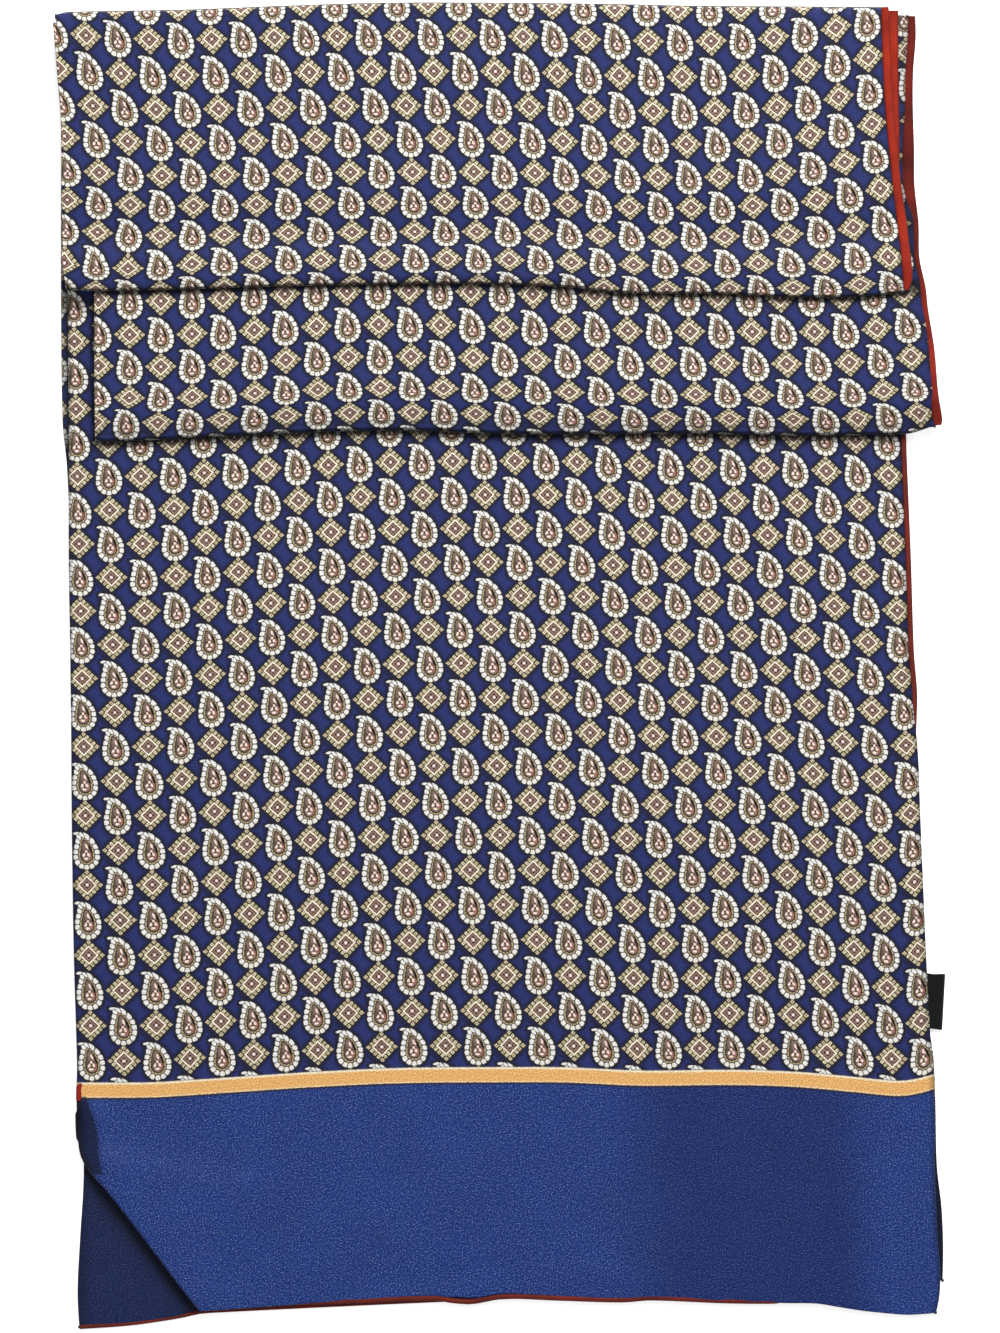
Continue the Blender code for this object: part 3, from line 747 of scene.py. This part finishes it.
# The turned corner: the body's own corner, folded under it along the diagonal, good face down.
# It holds the diagonal fold up off the lower layer, and hides all but its fold.
corner_rows = [k / 22 for k in range(23)]
corner_columns = [k / 30 for k in range(31)]


def place_corner(column, row):
    foot = [a + (b - a) * column for a, b in zip(FLAP[0], FLAP[1])]
    x = foot[0] + (FLAP[2][0] - foot[0]) * row * 0.97 + 0.5 * (1 - row)
    y = foot[1] + (FLAP[2][1] - foot[1]) * row * 0.97 + 0.4 * (1 - row)
    return x, y, 1.75, *body_cloth_at(x, y)


corner = lay_cloth(
    "turned_corner_cloth", "turned_corner", corner_columns, corner_rows, place_corner,
    (twill_back, twill_face), 0.5,
)

# The body's hem: the same red roll. It shows along the upper right side and along the middle of
# the end, and elsewhere the cloth has rolled over it.
path = []
for x in range(-98, 153, 3):
    deeper = 1.6 * ease(96, 106, x)
    path.append((x, along(BODY_END, x) + 0.95 + deeper, 1.6 - 0.3 * deeper, 0.95, 0.6 - 0.2 * deeper))
roll_hem("body_end_edge", "body_end_hem", path, red_painted_deep_shade)
path = beside(BODY_SIDES, 1, [-152.0, -151.2, -149, -147.4], 0.85, 1.95, 0.95, 0.75)
path += beside(BODY_SIDES, 1, range(-145, 226, 6), 2.6, 1.35, 0.9, 0.3)
roll_hem("body_left_edge", "body_left_hem", path, red_bright)
path = [
    (along(BODY_SIDES, y, 2) + 0.8 - 2.2 * ease(-6, -30, y), y, 1.75 - 0.5 * ease(-6, -30, y), 1.0, 0.55)
    for y in range(-218, 226, 4)
]
roll_hem("body_right_edge", "body_right_hem", path, red_painted_deep_shade)

# The label: a small tab of black satin tape, folded double and sewn into the lower right side. The
# tape is woven of bright polyester, so it is dark with a faint gloss, fine cross ribs and a selvedge.
LABEL_WIDE, LABEL_LONG = 8.6, 19.4
LABEL_HALF = 0.34
LABEL_LEG = 0.42
LABEL_AT, LABEL_TURN = (151.6, -117.35, 1.16), math.radians(-3.1)


def place_label(column, row):
    """The tab's upper half from left to right, round its fold, and its lower half back."""
    fold = math.pi * min(max((column - LABEL_LEG) / (1 - 2 * LABEL_LEG), 0), 1)
    x = min(column, 1 - column, LABEL_LEG) / LABEL_LEG * (LABEL_WIDE - LABEL_HALF)
    x += LABEL_HALF * math.sin(fold)
    slack = 0.1 * math.sin(math.pi * row + 0.6) * x / LABEL_WIDE
    z = LABEL_AT[2] + LABEL_HALF * math.cos(fold) - slack
    y = (row - 0.5) * LABEL_LONG * (1 + 0.012 * math.sin(x))
    from_middle = x - LABEL_WIDE / 2
    turned_x = from_middle * math.cos(LABEL_TURN) - y * math.sin(LABEL_TURN)
    turned_y = from_middle * math.sin(LABEL_TURN) + y * math.cos(LABEL_TURN)
    return LABEL_AT[0] + turned_x, LABEL_AT[1] + turned_y, z, from_middle, y


satin, node, weave = cloth_material("black woven satin tape")
cross = node("TexWave BANDS", weave, Scale=0.4, Distortion=0.3, bands_direction="Y")
fluff = node("TexNoise", weave, Scale=1.8, Detail=3)
edge = node("Math ABSOLUTE", node("SeparateXYZ", weave).node.outputs[0])
black = node("Mix RGBA", fluff, "09090b", "121214")
selvedge = node("MapRange SMOOTHSTEP", edge, 3.6, 3.9)
black = node("Mix RGBA", selvedge, black, "242424")
ribbed = node("Bump", Height=node("Math ADD", cross, fluff), Strength=0.15, Distance=0.0002)
shader = node("BsdfPrincipled", Base_Color=black, Roughness=0.5, Normal=ribbed,
              Sheen_Weight=0.02, Specular_IOR_Level=0.15)
node("OutputMaterial", shader)
label = lay_cloth(
    "label_tab", "label", [k / 50 for k in range(51)], [k / 34 for k in range(35)], place_label,
    (satin, satin), 0.25,
)

# The middle fold: the doubled strip, folded forward from the top and up again, so that it is a
# wall round the hidden layers with a rounded lower edge. Its upper side shows the print.
MIDDLE_SIDES = (
    (79, -141.3, 152.8), (85.2, -141.4, 153.2), (90, -141.4, 152.6), (95, -141.5, 151.9),
    (111.1, -141.5, 150.6), (124.8, -141.5, 148.4), (132.5, -141.5, 147.6), (142.6, -141.5, 145.6),
    (155.2, -141.5, 145.0), (161, -141.5, 143.0), (168.5, -141.5, 141.2), (181.5, -141.5, 141.4),
    (194.4, -141.5, 142.1), (207.4, -141.5, 142.4), (220.3, -141.5, 143.2), (230, -141.5, 143.6),
)
TOP_FOLD = (
    (-151.2, 131.6), (-141, 131.1), (-107.8, 131.8), (-74.2, 132.8), (-34.6, 133.6), (0.4, 133.6),
    (22.8, 132.5), (45.2, 130.4), (78.4, 130.1), (106.4, 128.9), (128.8, 129.4), (142, 130.9),
)
MIDDLE_TOP, MIDDLE_UNDER = 7.35, 2.75
MIDDLE_SINK = 1.1
MIDDLE_ARCH = (
    (-140.7, 3.26), (-118.7, 3.64), (-97, 2.7), (-74.9, 1.26), (-53.2, 0.21), (-31.2, 0), (-9.5, 0.5),
    (13, 1.3), (34.7, 1.75), (56.4, 2.45), (78.1, 2.31), (100.1, 2.87), (122.2, 2.8), (144.6, 0.7),
)
MIDDLE_ROWS = (
    (78, -62), (82.3, -56.8), (83.4, -54.2), (85.5, -51.7), (89.3, -48), (97.8, -36), (108.8, -24),
    (119.9, -12), (131.8, 0), (143.6, 12), (230, 98.5),
)
MIDDLE_LEAN = ((-147, 0), (-118, 0), (-31, 0.033), (35, 0.065), (78, 0.1), (145, 0.115))


def middle_cloth_at(x, y):
    """Cloth coordinates of the middle fold's upper side."""
    lean = along(MIDDLE_LEAN, x) * (108.7 - y)
    spread = (1.2 * ease(-60, -130, x) - 0.9 * ease(90, 130, x)) * ease(94, 85, y)
    column = (x - lean + spread + 140.0) / 10.92
    drop = along(MIDDLE_ARCH, x) + 0.4 - 0.6 * ease(80, 125, x)
    drop -= 1.0 * ease(88, 84, y) * ease(-130, -100, x) * ease(130, 100, x)
    return (column + 0.5) * COLUMN, FIRST_ROW + 49 * ROW + along(MIDDLE_ROWS, y + drop)


def wall_rows(first, last, step, roll_steps, back_step):
    """Rows round a folded wall: the hidden lower leg, the rounded fold, and the upper leg."""
    lower_leg = [("under", last - k * back_step) for k in range(int((last - first) / back_step))]
    fold = [("roll", -math.pi / 2 + math.pi * k / roll_steps) for k in range(roll_steps + 1)]
    return lower_leg + fold + [("over", first + k * step) for k in range(int((last - first) / step) + 1)]


middle_rows = wall_rows(0.8, 144, 1.2, 12, 8)


def place_middle(column, row):
    kind, at = row
    nominal = 80 + (at if kind != "roll" else 0)
    x = across(column, along(MIDDLE_SIDES, nominal), along(MIDDLE_SIDES, nominal, 2))
    fold = along(MIDDLE_FOLD, x)
    sag = MIDDLE_SINK + 0.9 * ease(138, 152, x)
    round_it = (MIDDLE_TOP - sag - MIDDLE_UNDER) / 2
    if kind == "roll":
        y = fold + round_it * (1 - math.cos(at))
        z = MIDDLE_UNDER + round_it + round_it * math.sin(at)
        z -= column[2] * math.sin(at)
        u, v = middle_cloth_at(x, fold + round_it)
        # painted shade on the fold's rounded edge, where it turns under
        dark = 0.75 * ease(-0.5, 0.3, at) * (1 - 0.8 * ease(0.95, 1.35, at))
        return x, y, z, u, v - round_it * (math.pi / 2 - at), dark
    y = fold + round_it + at * (228 - fold - round_it) / 144
    if kind == "under":
        u, v = middle_cloth_at(x, fold + round_it)
        return x, y, MIDDLE_UNDER + column[2], u, v - math.pi * round_it - (y - fold - round_it)
    z = MIDDLE_TOP - sag * (1 - ease(0, 10, at)) - column[2]
    z += ripples(x, y, (
        (-60, 118, 40, 6, 0.3, 4), (60, 112, 50, 7, -0.3, -3), (120, 105, 24, 6, 0.35, 60),
        (0, 100, 60, 5, 0.25, 2), (-120, 108, 24, 6, -0.25, 80), (20, 128, 90, 5, -0.4, 1),
    ))
    u, v = middle_cloth_at(x, y)
    below = along(TOP_FOLD, x) - y
    # painted shade darkens the turned edges, the two folds, the layers' gap and the cloth beside the hem
    return x, y, z, u, v, max(
        0.75 * ease(0.04, 0.4, column[2]), 0.12 * ease(7, 0, at) + 0.4 * ease(2.8, 0.3, at),
        0.85 * ease(1.7, 0.5, below) * ease(-6, -4, below),
        0.6 * ease(140, 144, y) * ease(185, 165, y) * ease(130, 138, x),
        0.45 * ease(3.2, 0.6, along(MIDDLE_SIDES, nominal, 2) - x),
    )


middle = lay_cloth(
    "middle_cloth", "middle_fold", columns_of(132, curl(0, 0.6, 110), curl(1, 0.4, 100)), middle_rows,
    place_middle, (twill_face, twill_back),
)

# The middle fold's hems: the left one is rolled under, and the right one lies open along the
# side, wide, with painted shade where the layers above cover it, and bright where it comes out.
path = beside(MIDDLE_SIDES, 1, range(96, 226, 6), 2.0, 6.1, 0.9, 0.4)
roll_hem("middle_left_edge", "middle_left_hem", path, red_bright)
MIDDLE_HEM = (
    (84.4, 153.5, 1.2), (86, 153.4, 1.75), (95, 152.1, 1.5), (111.1, 151.0, 1.2), (124.8, 148.8, 1.2),
    (132.5, 148.0, 1.15), (142.6, 145.9, 1.1), (155.2, 145.5, 1.2), (161, 144.0, 2.0),
    (168.5, 142.8, 2.4), (181.5, 142.8, 2.3), (194.4, 142.9, 1.8), (207.4, 143.1, 1.65),
    (220.3, 144.0, 1.7), (228, 144.1, 1.4),
)
path = [(along(MIDDLE_HEM, y), y, 6.75 - 1.9 * ease(93, 84, y), along(MIDDLE_HEM, y, 2), 0.75)
        for y in [84.4, 85.4, 86.6, 88] + list(range(90, 228, 3)) + [227.3]]
# painted shade on the hem where it runs in under the layers above
roll_hem(
    "middle_right_edge", "middle_right_hem", path, red_painted_shade, shaded=lambda y: 0.5 * ease(129, 138, y),
)

# The inside layers: the other half's two layers, hidden in the middle fold. They are one folded
# wall of the same cloth, and only their side edges can be seen, between those round them.
INSIDE_HALF, INSIDE_FOLD, INSIDE_ROUND, INSIDE_MIDDLE = 139, 85.2, 0.9, 5.05
inside_rows = wall_rows(0.8, 140, 8, 8, 12)


def place_inside(column, row):
    kind, at = row
    x = across(column, -INSIDE_HALF, INSIDE_HALF)
    if kind == "roll":
        y = INSIDE_FOLD + INSIDE_ROUND * (1 - math.cos(at))
        z = INSIDE_MIDDLE + INSIDE_ROUND * math.sin(at) * 0.95
        return x, y, z, 150 + x, -(590 + INSIDE_ROUND * at)
    y = INSIDE_FOLD + INSIDE_ROUND + at * (226 - INSIDE_FOLD - INSIDE_ROUND) / 140
    side = 1 if kind == "over" else -1
    return x, y, INSIDE_MIDDLE + side * INSIDE_ROUND, 150 + x, -(590 + side * at)


inside = lay_cloth(
    "inside_cloth", "inside_layers", columns_of(30, curl(0, 0.4), curl(1, 0.4)), inside_rows, place_inside,
    (twill_back, twill_face), 0.5,
)

# The top fold: the doubled strip once more folded forward, so its lower edge is the scarf's
# crosswise middle. Its top rolls down over the layers below, and a soft trough crosses it.
TOP_SIDES = (
    (130, -150.9, 141.9), (141.6, -152.6, 141.2), (150, -152.6, 140.6), (160, -152.6, 139.4),
    (170.3, -152.7, 138.0), (192.7, -153.0, 135.8), (205.3, -154.0, 135.0), (222, -155.3, 134.5),
    (226, -155.6, 134.2), (232, -154.4, 134.0),
)
TOP_TOP, TOP_UNDER = 9.9, 7.95
TOP_RISE = (
    (130, 0.5), (134, 0.9), (141.6, 1.0), (150, 0.15), (156, 0.3), (163, 0.75), (170.3, 0.8), (190, 0.7),
    (205, 0.85), (232, 0.8),
)
TOP_ARCH = (
    (-153.7, -1.05), (-140.7, 0.18), (-120.4, 1.33), (-97, 1.12), (-74.6, 0.53), (-52.2, 0.18), (-31, 0),
    (-10.2, 0), (12.6, 0.46), (34.3, 1.33), (56.4, 1.93), (78.1, 1.75), (100.1, 0.7), (121.1, -2.28),
    (133.4, -4.55),
)
TOP_ROWS = (
    (122, -112), (131, -101.5), (135.3, -96), (143.5, -84), (152.6, -72), (162.9, -60), (173.4, -48),
    (185.0, -36), (196.5, -24), (208.5, -12), (220.9, 0), (231, 11),
)


def top_cloth_at(x, y):
    """Cloth coordinates of the top fold, which is the other half of the scarf, good face up."""
    lean = (0.0985 - 0.080 * ease(-40, 200, x)) * (220.9 - max(y, 173.1))
    lean += (-0.03 + 0.15 * (x + 174.6) / 315) * max(173.1 - y, 0)
    nudge = 1.05 * ease(40, -60, x) + 2.2 * ease(90, 130, x) * ease(200, 160, y)
    nudge -= 0.6 * ease(-40, -120, x) * ease(160, 145, y)
    column = (x - nudge - lean + 145.2) / 10.95
    drop = along(TOP_ARCH, x) + 0.85 - 1.2 * ease(80, 125, x)
    drop += (0.13 * ease(86, 125, x) + 0.05 * ease(122, 138, x)) * min(max(172 - y, 0), 33)
    drop += 2.2 * ease(150, 139, y) * ease(-100, -135, x) + 0.9 * ease(146, 139, y)
    return (column + 0.5) * COLUMN, FIRST_ROW - 69 * ROW + along(TOP_ROWS, y + drop)


TOP_ROLL = 2.3
top_rows = [("under", 92 - 8 * k) for k in range(12)]
top_rows += [("fold", -math.pi / 2 + math.pi * k / 10) for k in range(11)]
top_rows += [("over", 0.5 + 1.75 * k) for k in range(55)]
top_rows += [("roll", math.pi / 2 - math.pi * k / 12) for k in range(1, 13)]
top_rows += [("back", 4), ("back", 8)]


def place_top(column, row):
    kind, at = row
    nominal = 132 + (at if kind in ("under", "over") else 0 if kind == "fold" else 97)
    x = across(column, along(TOP_SIDES, nominal), along(TOP_SIDES, nominal, 2))
    fold, edge = along(TOP_FOLD, x), along(TOP_EDGE, x) - 0.7
    round_it = (TOP_TOP - TOP_UNDER) / 2
    if kind == "fold":
        y = fold + round_it * (1 - math.cos(at))
        z = TOP_UNDER + round_it + round_it * math.sin(at) - column[2] * math.sin(at)
        z += along(TOP_RISE, 131) * max(math.sin(at), 0)
        u, v = top_cloth_at(x, fold + round_it)
        # painted shade on the fold's rounded edge, where it turns under
        dark = 0.75 * ease(-0.5, 0.3, at) * (1 - 0.8 * ease(1.05, 1.4, at))
        return x, y, z, u, v - round_it * (math.pi / 2 - at), dark
    first, last = fold + round_it, edge - TOP_ROLL
    if kind == "under":
        y = first + at * (last - first) / 96
        u, v = top_cloth_at(x, first)
        return x, y, TOP_UNDER + column[2], u, v - math.pi * round_it - (y - first)
    y = first + at * (last - first) / 95
    z = TOP_TOP + along(TOP_RISE, y)
    if kind == "over":
        z += ripples(x, y, (
            (-80, 150, 60, 5, -0.3, 1), (70, 148, 60, 5, -0.35, -2), (-20, 205, 50, 10, 0.22, 10),
            (90, 195, 40, 8, -0.25, -12), (-120, 190, 30, 9, 0.25, 75),
        ))
        u, v = top_cloth_at(x, y)
        # painted shade at the turned edges, near the fold and beside the right hem
        return x, y, z - column[2], u, v, max(
            0.7 * ease(0.04, 0.4, column[2]), 0.1 * ease(6, 0, at),
            0.7 * ease(1.6, 0.3, along(TOP_SIDES, nominal, 2) - x),
        )
    u, v = top_cloth_at(x, last)
    z = TOP_TOP + along(TOP_RISE, 232)
    if kind == "roll":
        y = last + TOP_ROLL * math.cos(at)
        z += (math.sin(at) - 1) * TOP_ROLL - column[2] * math.sin(at)
        return x, y, z, u, v + TOP_ROLL * (math.pi / 2 - at)
    return x, last - at, z - 2 * TOP_ROLL + column[2], u, v + TOP_ROLL * math.pi + at


top = lay_cloth(
    "top_cloth", "top_fold", columns_of(132, curl(0, 0.6, 120), curl(1, 0.4, 100)), top_rows, place_top,
    (twill_face, twill_back),
)

# The top fold's hems: the left one is rolled under. The right ones of its two layers lie open side
# by side and are the brightest red; the lower of them runs in under the upper one.
path = beside(TOP_SIDES, 1, range(138, 226, 6), 2.0, 8.9, 0.9, 0.35)
roll_hem("top_left_edge", "top_left_hem", path, red_bright)
TOP_HEM = (
    (131.2, 141.9, 0.5), (132, 142.0, 1.1), (133.4, 142.3, 1.4), (136.3, 142.5, 1.8), (145, 141.7, 1.7),
    (155.6, 140.5, 1.75), (165, 139.1, 1.6), (175.2, 138.0, 1.55), (194.4, 136.1, 1.5),
    (210, 135.3, 1.5), (227, 134.7, 1.5), (230, 134.6, 1.3),
)
path = [(along(TOP_HEM, y), y, 9.75 + along(TOP_RISE, y), along(TOP_HEM, y, 2), 0.75)
        for y in [131.2, 132, 133, 134.4, 136] + list(range(138, 229, 3)) + [230]]
roll_hem("top_right_edge", "top_right_hem", path, red_bright)
TOP_UNDER_HEM = (
    (137, 141.0, 1.1), (165, 138.4, 1.3), (178, 138.0, 1.9), (194.4, 137.7, 2.0), (210, 137.5, 2.0),
    (230, 137.4, 2.0),
)
path = [(along(TOP_UNDER_HEM, y), y, 8.6, along(TOP_UNDER_HEM, y, 2), 0.6)
        for y in list(range(137, 228, 3)) + [229]]
roll_hem("top_under_edge", "top_under_hem", path, red_bright)
